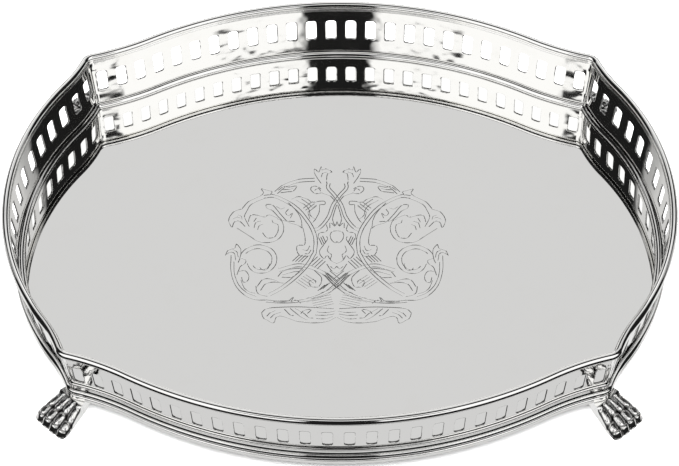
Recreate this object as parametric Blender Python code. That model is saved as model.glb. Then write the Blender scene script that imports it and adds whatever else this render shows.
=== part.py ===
"""Gallery tray: a polished floor in a pierced, slightly leaning gallery, on four cast paw feet.

The plan outline is four lobes, two long ones at the front and back and two short ones at the
sides, which meet in four rounded corners. Each lobe is a main arc with a reverse arc at each end.
Every strip is made per lobe and mitred at the corners. Metres, +Z up, soles on Z = 0.
"""

import math

import bmesh
import bpy
from mathutils import Vector

MM = 0.001

# Plan outline: the gallery's inner face at floor level
HALF_LENGTH = 159.0 * MM  # centre to the middle of a side lobe
HALF_WIDTH = 119.7 * MM  # centre to the middle of the front or back lobe
CORNER_INSET = Vector((32.2, 34.8)) * MM  # from the lobes' middles in to the sharp corner
CORNER_ROUND = 3.5 * MM  # more than LEDGE_REACH, which follows it round
SIDE_REVERSE_RADIUS = 70.0 * MM
SIDE_CORNER_ANGLE = math.radians(20.5)  # how far a lobe's edge turns away from its end
FRONT_REVERSE_RADIUS = 136.3 * MM
FRONT_CORNER_ANGLE = math.radians(13.8)

# Clearances between pieces that are soldered together
SOLDER_GAP = 0.3 * MM
MITRE_SETBACK = 0.2 * MM  # each strip stops this far short of the corner, along its own edge

# Floor
FLOOR_THICKNESS = 1.2 * MM

# Gallery: upright strip with a row of tall rounded slots
GALLERY_THICKNESS = 1.0 * MM
GALLERY_LEAN = 0.068  # outward run per unit of height
SLOT_SILL = 11.9 * MM  # floor to the bottom of a slot
SLOT_HEIGHT = 13.8 * MM
SLOT_WIDTH = 5.0 * MM
SLOT_CORNER_RADIUS = 1.5 * MM
SLOT_CORNER_STEPS = 2
SLOT_END_MARGIN = 2.2 * MM  # metal between the last slot and the mitre
FRONT_SLOTS = 26
SIDE_SLOTS = 18

# Rim wire: round bead with a groove that takes the gallery's top edge, and a flat lip inside
RIM_TOP = 38.8 * MM  # above the floor
RIM_RADIUS = 2.0 * MM
RIM_BITE = 1.6 * MM  # how far the gallery stands up into the bead
RIM_LIP_HEIGHT = 1.0 * MM
RIM_LIP_WIDTH = 0.8 * MM
RIM_SIDES = 9

# Base moulding: stamped strip outside the gallery, with a ledge turned in under it.
# Its heights are above the floor.
MOULDING_TOP = 9.2 * MM
MOULDING_DROP = 4.3 * MM  # skirt below the floor
MOULDING_THICKNESS = 0.7 * MM
TOP_BEAD_FOOT = 7.9 * MM
COVE_TOP = 7.4 * MM
COVE_FOOT = 5.4 * MM
COVE_DEPTH = 0.35 * MM
ROUND_TOP = 3.6 * MM
ROUND_HIGH = 2.7 * MM
ROUND_LOW = 1.3 * MM
ROUND_FOOT = 0.4 * MM
ROUND_SWELL = 1.0 * MM  # how far the half round stands out
UNDERCUT_FOOT = -0.9 * MM
SKIRT_STEP = 0.5 * MM  # how far the skirt stands out
LEDGE_REACH = 2.5 * MM  # inwards from the gallery's inner face
LEDGE_THICKNESS = 1.0 * MM
SKIRT_THICKNESS = 1.4 * MM

# Bead wire in the angle between floor and gallery
FLOOR_BEAD_RADIUS = 2.0 * MM
FLOOR_BEAD_STEPS = 3

# Paw feet, measured outwards from the corner of the outline
FOOT_HEIGHT = 8.4 * MM  # sole to the top that the skirt stands on
FOOT_HEEL = -13.0 * MM
FOOT_ANKLE = 5.0 * MM
FOOT_KNUCKLE = 12.6 * MM
FOOT_TOE = 20.4 * MM
FOOT_HEEL_WIDTH = 9.0 * MM
FOOT_ANKLE_WIDTH = 14.4 * MM
FOOT_TOE_WIDTH = 19.4 * MM
FOOT_TIP_HEIGHT = 2.6 * MM
FOOT_TIP_ROUNDING = 1.3 * MM  # how far behind the tip the toes start to round down
FOOT_TIP_WIDTH = 18.2 * MM
TOE_COUNT = 4
TOE_BULGE = 0.9 * MM  # a toe's crown above the paw's outer edge
TOE_GROOVE = 0.7 * MM  # depth of the grooves between toes
TOE_STEPS = 4
FIRST_JOINT_DROP = 0.9 * MM  # crown below the foot's top, halfway to the knuckle
KNUCKLE_DROP = 2.9 * MM
TIP_RISE = 0.9 * MM  # crown above the tip, where the toes start to round down

FLOOR_Z = FOOT_HEIGHT + SOLDER_GAP + MOULDING_DROP


def arm(angle, length):
    return Vector((math.cos(angle), math.sin(angle))) * length


def angle_of(direction):
    return math.atan2(direction.y, direction.x)


def crossing(centre_a, radius_a, centre_b, radius_b, near):
    """The point where two circles cross, the one nearer to a given point."""
    across = centre_b - centre_a
    along = (across.length_squared + radius_a**2 - radius_b**2) / (2 * across.length)
    rise = math.sqrt(max(radius_a**2 - along**2, 0.0))
    direction = across.normalized()
    foot = centre_a + direction * along
    normal = Vector((-direction.y, direction.x)) * rise
    return min((foot + normal, foot - normal), key=lambda point: (point - near).length)


class Lobe:
    """One side of the outline, seen with +X pointing out through its middle.

    From the middle outwards it runs along a main arc, a reverse arc that is concave, and half of
    the round corner. All three keep their centres when the outline grows by an offset.
    """

    def __init__(self, reach, corner, reverse_radius, corner_angle, slots, turn):
        self.corner = corner
        self.reverse_radius = reverse_radius
        self.slots = slots
        self.turn = turn
        spoke = Vector((math.cos(corner_angle), math.sin(corner_angle)))
        self.reverse_centre = corner + spoke * reverse_radius
        run = self.reverse_centre.x - reach
        rise = self.reverse_centre.y
        self.main_radius = (run**2 + rise**2 - reverse_radius**2) / (2 * (reverse_radius - run))
        self.centre = Vector((reach - self.main_radius, 0.0))
        self.swing = angle_of(self.reverse_centre - self.centre)

    def meet(self, neighbour):
        """Round the corner off between this lobe and the next one, seen the same way up."""
        other = neighbour.reverse_centre.yx
        touching = self.reverse_radius + CORNER_ROUND
        other_touching = neighbour.reverse_radius + CORNER_ROUND
        self.round_centre = crossing(self.reverse_centre, touching, other, other_touching, self.corner)
        self.round_start = angle_of(self.reverse_centre - self.round_centre)
        self.mitre_angle = (self.round_start + angle_of(other - self.round_centre)) / 2
        self.reverse_end = angle_of(self.round_centre - self.reverse_centre) % math.tau
        self.main_length = self.swing * self.main_radius
        reverse_sweep = self.swing + math.pi - self.reverse_end
        self.reverse_length = reverse_sweep * self.reverse_radius
        round_sweep = self.mitre_angle - self.round_start
        self.half_length = self.main_length + self.reverse_length + round_sweep * CORNER_ROUND

    def corner_at(self, offset):
        """The tip of the round corner after the outline has grown outwards by offset."""
        return self.round_centre + arm(self.mitre_angle, CORNER_ROUND + offset)

    def point(self, distance, offset):
        """Point on the lobe, by distance from its middle along the outline, at an outward offset."""
        travelled = abs(distance)
        past_main = travelled - self.main_length
        past_reverse = past_main - self.reverse_length
        if past_main <= 0:
            angle = travelled / self.main_radius
            local = self.centre + arm(angle, self.main_radius + offset)
        elif past_reverse <= 0:
            angle = self.swing + math.pi - past_main / self.reverse_radius
            local = self.reverse_centre + arm(angle, self.reverse_radius - offset)
        else:
            radius = CORNER_ROUND + offset
            share = past_reverse / (self.half_length - travelled + past_reverse)
            sweep = self.mitre_angle - self.round_start - MITRE_SETBACK / radius
            local = self.round_centre + arm(self.round_start + share * sweep, radius)
        local.y = math.copysign(local.y, distance)
        cos, sin = math.cos(self.turn), math.sin(self.turn)
        return Vector((local.x * cos - local.y * sin, local.x * sin + local.y * cos))


def make_lobes():
    """The four lobes by name."""
    corner = Vector((HALF_LENGTH, HALF_WIDTH)) - CORNER_INSET
    side = (HALF_LENGTH, corner, SIDE_REVERSE_RADIUS, SIDE_CORNER_ANGLE, SIDE_SLOTS)
    front = (HALF_WIDTH, corner.yx, FRONT_REVERSE_RADIUS, FRONT_CORNER_ANGLE, FRONT_SLOTS)
    lobes = {
        "right": Lobe(*side, 0.0),
        "back": Lobe(*front, math.pi / 2),
        "left": Lobe(*side, math.pi),
        "front": Lobe(*front, -math.pi / 2),
    }
    for side_name, long_name in (("right", "back"), ("left", "front")):
        lobes[side_name].meet(lobes[long_name])
        lobes[long_name].meet(lobes[side_name])
    return lobes


def slot_centres(lobe):
    """Distances of the slots' centres from the lobe's middle, evenly spaced."""
    last = lobe.half_length - SLOT_END_MARGIN - SLOT_WIDTH / 2
    return [last * (2 * index / (lobe.slots - 1) - 1) for index in range(lobe.slots)]


def stations(lobe):
    """Distances where every strip has a section: midway between slots, and along the corners."""
    centres = slot_centres(lobe)
    between = [(first + second) / 2 for first, second in zip(centres, centres[1:])]
    corner_start = lobe.main_length + lobe.reverse_length
    corner_middle = (corner_start + lobe.half_length) / 2
    end = [corner_start, corner_middle, lobe.half_length]
    return [-distance for distance in reversed(end)] + between + end


def wall_offset(height):
    """Outward offset of the gallery's inner face at a height above the floor."""
    return GALLERY_LEAN * height


def make_material(name, colour, roughness):
    material = bpy.data.materials.new(name)
    material.use_nodes = True
    shader = material.node_tree.nodes["Principled BSDF"]
    shader.inputs["Base Color"].default_value = (*colour, 1.0)
    shader.inputs["Metallic"].default_value = 1.0
    shader.inputs["Roughness"].default_value = roughness
    return material


def finish(mesh, name, material):
    """Turn a bmesh into a named object with outward faces and one material."""
    bmesh.ops.recalc_face_normals(mesh, faces=mesh.faces)
    if mesh.calc_volume(signed=True) < 0:
        bmesh.ops.reverse_faces(mesh, faces=mesh.faces)
    data = bpy.data.meshes.new(name)
    mesh.to_mesh(data)
    mesh.free()
    data.materials.append(material)
    part = bpy.data.objects.new(name, data)
    bpy.context.scene.collection.objects.link(part)
    return part


def loft(sections, name, material):
    """Closed solid through sections with the same number of points."""
    mesh = bmesh.new()
    rings = [[mesh.verts.new(point) for point in section] for section in sections]
    count = len(rings[0])
    for ring, following in zip(rings, rings[1:]):
        for index in range(count):
            after = (index + 1) % count
            mesh.faces.new((ring[index], ring[after], following[after], following[index]))
    caps = [mesh.faces.new(rings[0]), mesh.faces.new(list(reversed(rings[-1])))]
    mesh.normal_update()
    bmesh.ops.triangulate(mesh, faces=caps)
    return finish(mesh, name, material)


def sweep(lobe, profile, name, material):
    """Strip along a lobe with a profile of (outward offset, height above the floor) points."""
    sections = []
    for distance in stations(lobe):
        section = []
        for offset, height in profile:
            plan = lobe.point(distance, offset)
            section.append((plan.x, plan.y, FLOOR_Z + height))
        sections.append(section)
    return loft(sections, name, material)


def rim_profile():
    """Bead with the groove cut up into it; the inner side of the groove runs down into the lip."""
    half_mouth = GALLERY_THICKNESS / 2 + SOLDER_GAP
    start = -math.acos(half_mouth / RIM_RADIUS)
    mouth = rim_mouth()
    middle_height = RIM_TOP - RIM_RADIUS
    middle = wall_offset(middle_height) + GALLERY_THICKNESS / 2
    lip_start = math.pi + math.asin(RIM_LIP_HEIGHT / RIM_RADIUS)
    profile = [(wall_offset(mouth) + GALLERY_THICKNESS + SOLDER_GAP, mouth)]
    for index in range(1, RIM_SIDES + 1):
        angle = start + (lip_start - start) * index / RIM_SIDES
        across, up = arm(angle, RIM_RADIUS)
        profile.append((middle + across, middle_height + up))
    lip_foot = mouth - RIM_LIP_HEIGHT
    back = wall_offset(lip_foot) - SOLDER_GAP
    profile.append((back - RIM_LIP_WIDTH, mouth))
    profile.append((back - RIM_LIP_WIDTH, lip_foot))
    profile.append((back, lip_foot))
    roof = gallery_top() + SOLDER_GAP
    profile.append((wall_offset(roof) - SOLDER_GAP, roof))
    profile.append((wall_offset(roof) + GALLERY_THICKNESS + SOLDER_GAP, roof))
    return profile


def rim_mouth():
    """Height of the groove's outer mouth, where it breaks through the underside of the bead."""
    half_mouth = GALLERY_THICKNESS / 2 + SOLDER_GAP
    return RIM_TOP - RIM_RADIUS - math.sqrt(RIM_RADIUS**2 - half_mouth**2)


def gallery_top():
    return rim_mouth() + RIM_BITE


def moulding_profile():
    """Outer face from the top down, round the skirt, in along the ledge and up the back."""
    top_back = wall_offset(MOULDING_TOP) + GALLERY_THICKNESS + SOLDER_GAP
    face = top_back + MOULDING_THICKNESS
    swell = face + ROUND_SWELL
    skirt = face + SKIRT_STEP
    foot_back = GALLERY_THICKNESS + SOLDER_GAP
    ledge_top = -(FLOOR_THICKNESS + SOLDER_GAP)
    ledge_foot = ledge_top - LEDGE_THICKNESS
    return [
        (top_back, MOULDING_TOP),
        (face, MOULDING_TOP - MOULDING_THICKNESS / 2),
        (face, TOP_BEAD_FOOT),
        (face - COVE_DEPTH, COVE_TOP),
        (face - COVE_DEPTH, COVE_FOOT),
        (face, ROUND_TOP),
        (swell, ROUND_HIGH),
        (swell, ROUND_LOW),
        (face, ROUND_FOOT),
        (face, UNDERCUT_FOOT + SKIRT_STEP),
        (skirt, UNDERCUT_FOOT),
        (skirt, -MOULDING_DROP),
        (skirt - SKIRT_THICKNESS, -MOULDING_DROP),
        (skirt - SKIRT_THICKNESS, ledge_foot),
        (-LEDGE_REACH, ledge_foot),
        (-LEDGE_REACH, ledge_top),
        (foot_back, ledge_top),
    ]


def floor_bead_profile():
    """Quarter round with its flat sides against the floor and the gallery."""
    profile = [(wall_offset(SOLDER_GAP) - SOLDER_GAP, SOLDER_GAP)]
    for index in range(FLOOR_BEAD_STEPS + 1):
        angle = math.pi / 2 * (1 + index / FLOOR_BEAD_STEPS)
        height = SOLDER_GAP + FLOOR_BEAD_RADIUS * math.sin(angle)
        run = FLOOR_BEAD_RADIUS * math.cos(angle)
        profile.append((wall_offset(height) - SOLDER_GAP + run, height))
    return profile


def floor_sheet(lobes, material):
    """Flat sheet cut to the outline, a solder gap inside the gallery."""
    offset = wall_offset(-FLOOR_THICKNESS) - SOLDER_GAP
    outline = []
    for name in ("right", "back", "left", "front"):
        outline += [lobes[name].point(distance, offset) for distance in stations(lobes[name])]
    bottom = [(point.x, point.y, FLOOR_Z - FLOOR_THICKNESS) for point in outline]
    top = [(point.x, point.y, FLOOR_Z) for point in outline]
    return loft([bottom, top], "tray_floor", material)


def slot_ring(centre):
    """Corner by corner, the (distance, height) points of one slot's rounded edge."""
    reach = SLOT_WIDTH / 2 - SLOT_CORNER_RADIUS
    low = SLOT_SILL + SLOT_CORNER_RADIUS
    high = SLOT_SILL + SLOT_HEIGHT - SLOT_CORNER_RADIUS
    corners = ((reach, low), (reach, high), (-reach, high), (-reach, low))
    ring = []
    for quarter, (across, height) in enumerate(corners):
        arc = []
        for step in range(SLOT_CORNER_STEPS + 1):
            angle = math.pi / 2 * (quarter - 1 + step / SLOT_CORNER_STEPS)
            arc.append(
                (
                    centre + across + SLOT_CORNER_RADIUS * math.cos(angle),
                    height + SLOT_CORNER_RADIUS * math.sin(angle),
                )
            )
        ring.append(arc)
    return ring


def gallery_panel(lobe, name, material):
    """Pierced strip along a lobe: one cell of metal round each slot, and a plain strip at each end."""
    mesh = bmesh.new()
    edges = stations(lobe)
    centres = slot_centres(lobe)
    plain = (len(edges) - len(centres) - 1) // 2
    bottom, top = -FLOOR_THICKNESS, gallery_top()

    def vertex(distance, height, thickness):
        plan = lobe.point(distance, wall_offset(height) + thickness)
        return mesh.verts.new((plan.x, plan.y, FLOOR_Z + height))

    frames = []
    rings = []
    for thickness in (0.0, GALLERY_THICKNESS):
        frame = [(vertex(edge, bottom, thickness), vertex(edge, top, thickness)) for edge in edges]
        frames.append(frame)
        cells = list(zip(frame, frame[1:]))
        for left, right in cells[:plain] + cells[-plain:]:
            mesh.faces.new((left[0], right[0], right[1], left[1]))
        skin_rings = []
        for centre, (left, right) in zip(centres, cells[plain:-plain]):
            arcs = [[vertex(*point, thickness) for point in arc] for arc in slot_ring(centre)]
            skin_rings.append([corner for arc in arcs for corner in arc])
            outer = (right[0], right[1], left[1], left[0])
            for quarter, arc in enumerate(arcs):
                for first, second in zip(arc, arc[1:]):
                    mesh.faces.new((outer[quarter], second, first))
                following = (quarter + 1) % 4
                mesh.faces.new((outer[quarter], outer[following], arcs[following][0], arc[-1]))
        rings.append(skin_rings)
    for inner, outer in zip(*rings):
        for index, vert in enumerate(inner):
            after = (index + 1) % len(inner)
            mesh.faces.new((vert, inner[after], outer[after], outer[index]))
    inner, outer = frames
    for cell in range(len(inner) - 1):
        for end in (0, 1):
            mesh.faces.new((inner[cell][end], inner[cell + 1][end], outer[cell + 1][end], outer[cell][end]))
    for end in (0, -1):
        mesh.faces.new((inner[end][0], inner[end][1], outer[end][1], outer[end][0]))
    return finish(mesh, name, material)


def paw_section(run, width, crown, bulge):
    """One section across a paw: flat sole, plain sides, and a crown that swells over each toe."""
    points = [(run, -width / 2, 0.0), (run, width / 2, 0.0)]
    groove = TOE_GROOVE * bulge / TOE_BULGE
    steps = TOE_COUNT * TOE_STEPS
    for step in range(steps + 1):
        share = 1 - 2 * step / steps
        swell = abs(math.sin(math.pi * TOE_COUNT * step / steps))
        height = crown - groove * (1 - swell) - bulge * share**2
        points.append((run, share * width / 2, height))
    return points


def paw_foot(lobe, mirror_x, mirror_y, name, material):
    """Cast paw that points out along the mitre, with a lug at its heel that meets the floor."""
    corner = lobe.corner_at(0.0)
    outwards = arm(lobe.mitre_angle, 1.0)
    half_angle = math.pi / 2 - (lobe.mitre_angle - lobe.round_start)
    ledge_edge = (LEDGE_REACH + SOLDER_GAP) / math.sin(half_angle)
    lug_end = -ledge_edge - FOOT_HEEL_WIDTH / 2 / math.tan(half_angle)
    lug_top = FLOOR_Z - FLOOR_THICKNESS - SOLDER_GAP
    knuckle_width = (FOOT_ANKLE_WIDTH + FOOT_TOE_WIDTH) / 2
    first_joint = (FOOT_ANKLE + FOOT_KNUCKLE) / 2
    first_width = (FOOT_ANKLE_WIDTH + knuckle_width) / 2
    last_joint = (FOOT_KNUCKLE + FOOT_TOE) / 2
    last_width = (knuckle_width + FOOT_TOE_WIDTH) / 2
    tip_start = FOOT_TOE - FOOT_TIP_ROUNDING
    sections = [
        paw_section(FOOT_HEEL, FOOT_HEEL_WIDTH, lug_top, 0.0),
        paw_section(lug_end, FOOT_HEEL_WIDTH, lug_top, 0.0),
        paw_section(lug_end, FOOT_HEEL_WIDTH, FOOT_HEIGHT, 0.0),
        paw_section(FOOT_ANKLE, FOOT_ANKLE_WIDTH, FOOT_HEIGHT, 0.0),
        paw_section(first_joint, first_width, FOOT_HEIGHT - FIRST_JOINT_DROP, TOE_BULGE),
        paw_section(FOOT_KNUCKLE, knuckle_width, FOOT_HEIGHT - KNUCKLE_DROP, TOE_BULGE),
        paw_section(last_joint, last_width, FOOT_HEIGHT - KNUCKLE_DROP, TOE_BULGE),
        paw_section(tip_start, FOOT_TOE_WIDTH, FOOT_TIP_HEIGHT + TIP_RISE, TOE_BULGE),
        paw_section(FOOT_TOE, FOOT_TIP_WIDTH, FOOT_TIP_HEIGHT, TOE_BULGE),
    ]
    across = Vector((-outwards.y, outwards.x))
    placed = []
    for section in sections:
        ring = []
        for run, side, height in section:
            plan = corner + outwards * run + across * side
            ring.append((plan.x * mirror_x, plan.y * mirror_y, height))
        placed.append(ring)
    return loft(placed, name, material)


for leftover in list(bpy.data.objects):
    bpy.data.objects.remove(leftover, do_unlink=True)

mirror_silver = make_material("silver_mirror", (0.93, 0.92, 0.90), 0.05)
plate_silver = make_material("silver_plate", (0.93, 0.92, 0.90), 0.08)
cast_silver = make_material("silver_cast", (0.80, 0.79, 0.77), 0.22)

lobes = make_lobes()
floor_sheet(lobes, mirror_silver)
for side, lobe in lobes.items():
    sweep(lobe, moulding_profile(), f"base_moulding_{side}", plate_silver)
    gallery_panel(lobe, f"gallery_{side}", plate_silver)
    sweep(lobe, floor_bead_profile(), f"floor_bead_{side}", plate_silver)
    sweep(lobe, rim_profile(), f"rim_wire_{side}", plate_silver)
for end, mirror_y in (("back", 1), ("front", -1)):
    for side, mirror_x in (("right", 1), ("left", -1)):
        paw_foot(lobes["right"], mirror_x, mirror_y, f"paw_foot_{end}_{side}", cast_silver)
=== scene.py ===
"""Looks of a silver-plated gallery tray on four paw feet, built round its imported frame."""

import math

import bmesh
import bpy
import numpy as np
from mathutils import Matrix, Vector, geometry, kdtree


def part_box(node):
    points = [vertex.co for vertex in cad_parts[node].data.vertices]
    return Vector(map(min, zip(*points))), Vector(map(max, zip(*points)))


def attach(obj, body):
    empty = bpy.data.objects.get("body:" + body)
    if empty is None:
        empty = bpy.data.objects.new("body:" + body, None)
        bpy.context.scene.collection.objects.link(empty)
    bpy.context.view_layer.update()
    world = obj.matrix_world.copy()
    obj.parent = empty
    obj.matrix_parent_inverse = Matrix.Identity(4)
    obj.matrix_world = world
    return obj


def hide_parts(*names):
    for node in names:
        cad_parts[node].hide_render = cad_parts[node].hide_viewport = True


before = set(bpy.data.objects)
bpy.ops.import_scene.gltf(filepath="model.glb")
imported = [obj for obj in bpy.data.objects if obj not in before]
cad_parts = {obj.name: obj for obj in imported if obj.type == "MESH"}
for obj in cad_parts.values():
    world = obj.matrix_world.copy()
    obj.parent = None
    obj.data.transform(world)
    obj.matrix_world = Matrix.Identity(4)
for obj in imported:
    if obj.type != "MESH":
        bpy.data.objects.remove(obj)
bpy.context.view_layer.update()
MM = 0.001

# ----------------------------------------------------------
# Base moulding: rolled brass strip, silver plated, with a half round between two steps and a
# ledge turned in below. Four lengths are bent to the outline, mitred and soldered together.
# ----------------------------------------------------------

floor_low, floor_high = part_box("tray_floor")
FLOOR_Z = floor_high.z
FLOOR_THICKNESS = floor_high.z - floor_low.z
SOLDER_GAP = 0.3 * MM
GALLERY_THICKNESS = 1.0 * MM
GALLERY_LEAN = 0.068  # outward run per unit of height
CORNER_ROUND = 3.5 * MM
MITRE_SETBACK = 0.06 * MM
STRAIGHT_STEP = 1.3 * MM  # between cross-sections of a strip, and in the round corner
CORNER_STEP = 0.17 * MM
SHARP_ANGLE = 28  # degrees; strips are smooth across gentler edges


def wall_offset(height):
    """Outward offset of the gallery's inner face at a height above the floor."""
    return GALLERY_LEAN * height


def crossing(centre_a, radius_a, centre_b, radius_b, near):
    """The point where two circles cross, the one nearer to a given point."""
    across = centre_b - centre_a
    along = (across.length_squared + radius_a**2 - radius_b**2) / (2 * across.length)
    rise = math.sqrt(max(radius_a**2 - along**2, 0.0))
    direction = across.normalized()
    normal = Vector((-direction.y, direction.x)) * rise
    foot = centre_a + direction * along
    return min((foot + normal, foot - normal), key=lambda point: (point - near).length)


def arm(angle, length):
    return Vector((math.cos(angle), math.sin(angle))) * length


def angle_of(direction):
    return math.atan2(direction.y, direction.x)


class Lobe:
    """One side of the plan outline, facing +X: from its middle outwards a main arc, a reverse
    arc and half of the round corner, which all keep their centres when the outline grows."""

    def __init__(self, reach, corner, reverse_radius, corner_angle, slots):
        self.corner = corner
        self.reverse_radius = reverse_radius
        self.slots = slots
        self.reverse_centre = corner + arm(corner_angle, reverse_radius)
        run, rise = self.reverse_centre.x - reach, self.reverse_centre.y
        self.main_radius = (run**2 + rise**2 - reverse_radius**2) / (2 * (reverse_radius - run))
        self.centre = Vector((reach - self.main_radius, 0.0))
        self.swing = angle_of(self.reverse_centre - self.centre)

    def meet(self, neighbour):
        """Round off the corner between this lobe and the next."""
        other = neighbour.reverse_centre.yx
        touching = self.reverse_radius + CORNER_ROUND
        other_touching = neighbour.reverse_radius + CORNER_ROUND
        self.round_centre = crossing(self.reverse_centre, touching, other, other_touching, self.corner)
        self.round_start = angle_of(self.reverse_centre - self.round_centre)
        self.mitre_angle = (self.round_start + angle_of(other - self.round_centre)) / 2
        reverse_end = angle_of(self.round_centre - self.reverse_centre) % math.tau
        self.main_length = self.swing * self.main_radius
        self.reverse_length = (self.swing + math.pi - reverse_end) * self.reverse_radius
        round_length = (self.mitre_angle - self.round_start) * CORNER_ROUND
        self.half_length = self.main_length + self.reverse_length + round_length

    def corner_at(self, offset):
        """The tip of the round corner after the outline has grown outwards by offset."""
        return self.round_centre + arm(self.mitre_angle, CORNER_ROUND + offset)

    def point(self, distance, offset):
        """Point by distance from the lobe's middle along the outline, at an outward offset."""
        past_main = abs(distance) - self.main_length
        past_reverse = past_main - self.reverse_length
        if past_main <= 0:
            local = self.centre + arm(abs(distance) / self.main_radius, self.main_radius + offset)
        elif past_reverse <= 0:
            angle = self.swing + math.pi - past_main / self.reverse_radius
            local = self.reverse_centre + arm(angle, self.reverse_radius - offset)
        else:
            radius = CORNER_ROUND + offset
            share = past_reverse / (self.half_length - self.main_length - self.reverse_length)
            sweep = self.mitre_angle - self.round_start - MITRE_SETBACK / radius
            local = self.round_centre + arm(self.round_start + share * sweep, radius)
        return Vector((local.x, math.copysign(local.y, distance)))


SIDE_REACH = 159.0 * MM
LONG_REACH = 119.7 * MM
CORNER = Vector((SIDE_REACH - 32.2 * MM, LONG_REACH - 34.8 * MM))
side_lobe = Lobe(SIDE_REACH, CORNER, 70.0 * MM, math.radians(20.5), 18)
long_lobe = Lobe(LONG_REACH, CORNER.yx, 136.3 * MM, math.radians(13.8), 26)
side_lobe.meet(long_lobe)
long_lobe.meet(side_lobe)
LOBES = {
    "right": (side_lobe, 0.0),
    "back": (long_lobe, math.pi / 2),
    "left": (side_lobe, math.pi),
    "front": (long_lobe, -math.pi / 2),
}


def turned(spot, turn):
    """A point of the plan, turned round the tray's middle."""
    cos, sin = math.cos(turn), math.sin(turn)
    return Vector((spot.x * cos - spot.y * sin, spot.x * sin + spot.y * cos))


def put_in_scene(data, name):
    made = bpy.data.objects.new(name, data)
    bpy.context.scene.collection.objects.link(made)
    return made


def station_spots(lobe):
    """Distances along a lobe for its cross-sections, close together in the round corners."""
    corner_start = lobe.main_length + lobe.reverse_length - 2 * CORNER_STEP
    straight = np.linspace(-corner_start, corner_start, int(2 * corner_start / STRAIGHT_STEP))
    steps = int((lobe.half_length - corner_start) / CORNER_STEP) + 1
    corner = np.linspace(corner_start, lobe.half_length, steps)[1:]
    return [float(spot) for spot in (*(-corner[::-1]), *straight, *corner)]


def line_of_points(name, spots):
    """A helper object: points joined one after another."""
    data = bpy.data.meshes.new(name)
    data.from_pydata(spots, [(index, index + 1) for index in range(len(spots) - 1)], [])
    return put_in_scene(data, name)


def bending_template(name, lobe, turn):
    """A line of points along the lobe at floor level. Each holds its spread: how far the strip's
    edge moves for each unit of outward offset, which turns into the mitre at the corner."""
    step = 0.5 * MM
    spots, spreads = [], []
    for distance in station_spots(lobe):
        spread = (lobe.point(distance, step) - lobe.point(distance, -step)) / (2 * step)
        spots.append((*turned(lobe.point(distance, 0.0), turn), FLOOR_Z))
        spreads += (*turned(spread, turn), 0.0)
    template = line_of_points(name, spots)
    template.data.attributes.new("spread", "FLOAT_VECTOR", "POINT").data.foreach_set("vector", spreads)
    return template


def straight_guide(name, lobe):
    """A straight line along X with a point for each cross-section of a strip."""
    return line_of_points(name, [(distance, 0.0, 0.0) for distance in station_spots(lobe)])


templates = {side: bending_template(f"template_{side}", *LOBES[side]) for side in LOBES}
guides = {side: straight_guide(f"guide_{side}", LOBES[side][0]) for side in LOBES}


def add(tree, kind, inputs=None, **settings):
    """Put a node in a tree, with its settings, and its inputs as values or links."""
    node = tree.nodes.new(kind)
    for name, value in settings.items():
        setattr(node, name, value)
    for key, value in (inputs or {}).items():
        if isinstance(value, bpy.types.NodeSocket):
            tree.links.new(value, node.inputs[key])
        else:
            node.inputs[key].default_value = value
    return node


def new_tree(name, inputs, outputs, tree_kind="GeometryNodeTree"):
    """A node tree, its input sockets and its output sockets. Each socket's name comes with its
    kind or, where it takes a number, with its usual value."""
    tree = bpy.data.node_groups.new(name, tree_kind)
    for direction, sockets in (("INPUT", inputs), ("OUTPUT", outputs)):
        for label, holds in sockets.items():
            kind = holds if isinstance(holds, str) else type(holds).__name__.title()
            socket = tree.interface.new_socket(label, in_out=direction, socket_type=f"NodeSocket{kind}")
            if kind != holds:
                socket.default_value = holds
    return tree, tree.nodes.new("NodeGroupInput").outputs, tree.nodes.new("NodeGroupOutput").inputs


def maths(tree, operation, *values):
    """A Math node's output, from sockets or numbers."""
    return add(tree, "ShaderNodeMath", dict(enumerate(values)), operation=operation).outputs[0]


def vector_maths(tree, operation, inputs):
    """A Vector Math node's output."""
    return add(tree, "ShaderNodeVectorMath", inputs, operation=operation).outputs[0]


def line_from(tree, helper):
    """The edges of a helper object as a curve."""
    shape = add(tree, "GeometryNodeObjectInfo", {"Object": helper}).outputs["Geometry"]
    return add(tree, "GeometryNodeMeshToCurve", {"Mesh": shape}).outputs[0]


def bend_tree():
    """Bends a straight strip, X along it, Y outwards and Z up, round a template."""
    sockets = {"Strip": "Geometry", "Template": "Object"}
    tree, given, result = new_tree("bend_round_template", sockets, {"Strip": "Geometry"})
    path = line_from(tree, given["Template"])
    length = add(tree, "GeometryNodeCurveLength", {"Curve": path}).outputs[0]
    here = add(tree, "GeometryNodeInputPosition").outputs[0]
    axes = add(tree, "ShaderNodeSeparateXYZ", {0: here}).outputs
    travelled = maths(tree, "SUBTRACT", maths(tree, "MULTIPLY", length, 0.5), axes["X"])
    spread = add(tree, "GeometryNodeInputNamedAttribute", {"Name": "spread"}, data_type="FLOAT_VECTOR")
    sample = add(
        tree,
        "GeometryNodeSampleCurve",
        {"Curves": path, "Value": spread.outputs["Attribute"], "Length": travelled},
        mode="LENGTH",
        data_type="FLOAT_VECTOR",
    ).outputs
    pushed = vector_maths(tree, "SCALE", {0: sample["Value"], "Scale": axes["Y"]})
    raised = add(tree, "ShaderNodeCombineXYZ", {"Z": axes["Z"]}).outputs[0]
    moved = vector_maths(tree, "ADD", {0: pushed, 1: raised})
    place = vector_maths(tree, "ADD", {0: moved, 1: sample["Position"]})
    bent = add(tree, "GeometryNodeSetPosition", {"Geometry": given["Strip"], "Position": place})
    tree.links.new(bent.outputs[0], result["Strip"])
    return tree


bend_round_template = bend_tree()


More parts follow.
